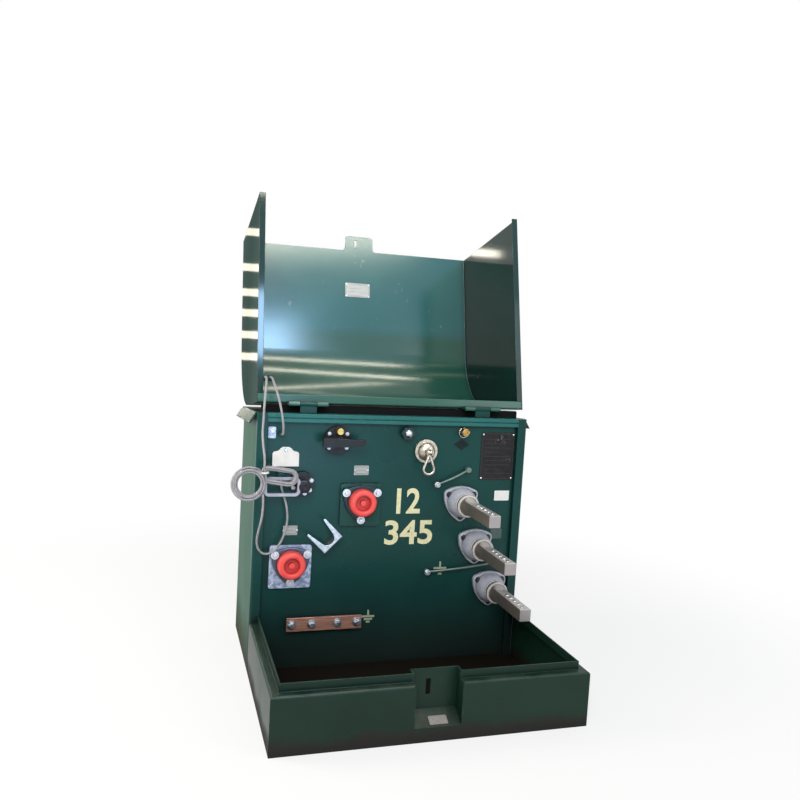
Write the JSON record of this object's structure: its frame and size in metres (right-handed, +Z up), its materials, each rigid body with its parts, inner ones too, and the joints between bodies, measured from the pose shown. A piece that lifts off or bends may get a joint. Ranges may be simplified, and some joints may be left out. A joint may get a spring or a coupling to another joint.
{
  "type": "pad-mounted distribution transformer",
  "caption": "Ground-standing oil-filled transformer cabinet with a swing-up curved hood, high-voltage wells, low-voltage bar terminals and a lockable sill over its cable opening.",
  "frame": {"origin": "centre of the tank's base, on the pad", "axes": "+Z up, front with the terminals towards -Y, +X to the right seen from the front"},
  "size_m": [0.8925, 1.0653, 1.3376],
  "materials": {
    "black_plastic": "moulded",
    "brass": "turned",
    "copper": "drawn copper",
    "green_paint": "gloss enamel",
    "grey_cord": "extruded jacket",
    "grey_resin": "cast resin",
    "red_rubber": "matt moulded rubber",
    "tinned_aluminium": "tinned",
    "zinc_steel": "zinc plated"
  },
  "bodies": {
    "tank": {"bar_connector_1": "tinned_aluminium", "bar_connector_2": "tinned_aluminium", "bar_connector_3": "tinned_aluminium", "bonding_wire_lower": "zinc_steel", "bonding_wire_upper": "zinc_steel", "cord_coil": "grey_cord", "cord_fall": "grey_cord", "cord_loop": "grey_cord", "cord_rise": "grey_cord", "earth_bar": "copper", "fill_plug": "green_paint", "front_plate": "green_paint", "left_jamb": "green_paint", "lock_pocket": "green_paint", "low_voltage_bushing_1": "grey_resin", "low_voltage_bushing_2": "grey_resin", "low_voltage_bushing_3": "grey_resin", "lower_bushing_clamp": "zinc_steel", "lower_dust_cap": "red_rubber", "parking_stand": "zinc_steel", "relief_valve": "zinc_steel", "right_jamb": "green_paint", "sill_front_left": "green_paint", "sill_front_right": "green_paint", "sill_left_wall": "green_paint", "sill_right_wall": "green_paint", "switch_body": "black_plastic", "tank_body": "green_paint", "tank_cover": "green_paint", "tank_hinge_left": "green_paint", "tank_hinge_right": "green_paint", "tap_changer_body": "black_plastic", "tap_lock_pin": "brass", "top_rail": "green_paint", "upper_bushing_clamp": "green_paint", "upper_dust_cap": "red_rubber", "vent_plug": "brass"},
    "hood": {"hood_hinge_left": "green_paint", "hood_hinge_right": "green_paint", "hood_left_side": "green_paint", "hood_panel": "green_paint", "hood_right_side": "green_paint"},
    "switch_lever": {"switch_handle": "zinc_steel"},
    "tap_lever": {"tap_changer_handle": "black_plastic"},
    "pull_ring": {"relief_ring": "zinc_steel"}
  },
  "joints": [
    {"name": "hood_hinge", "type": "hinge", "parent": "tank", "child": "hood", "pos_m": [0, -0.169, 0.751], "axis": [1, 0, 0], "range_deg": [0, 192.7], "deforming": ["cord_rise", "cord_fall", "cord_coil", "cord_loop"]},
    {"name": "switch_turn", "type": "hinge", "parent": "tank", "child": "switch_lever", "pos_m": [-0.27, -0.223, 0.52996], "axis": [0, -1, 0], "range_deg": [0, 90]},
    {"name": "tap_turn", "type": "hinge", "parent": "tank", "child": "tap_lever", "pos_m": [-0.175, -0.227, 0.65193], "axis": [0, -1, 0], "range_deg": [-60, 60]},
    {"name": "ring_swing", "type": "hinge", "parent": "tank", "child": "pull_ring", "pos_m": [0.08802, -0.211, 0.62501], "axis": [-1, 0, 0], "range_deg": [0, 95]}
  ]
}
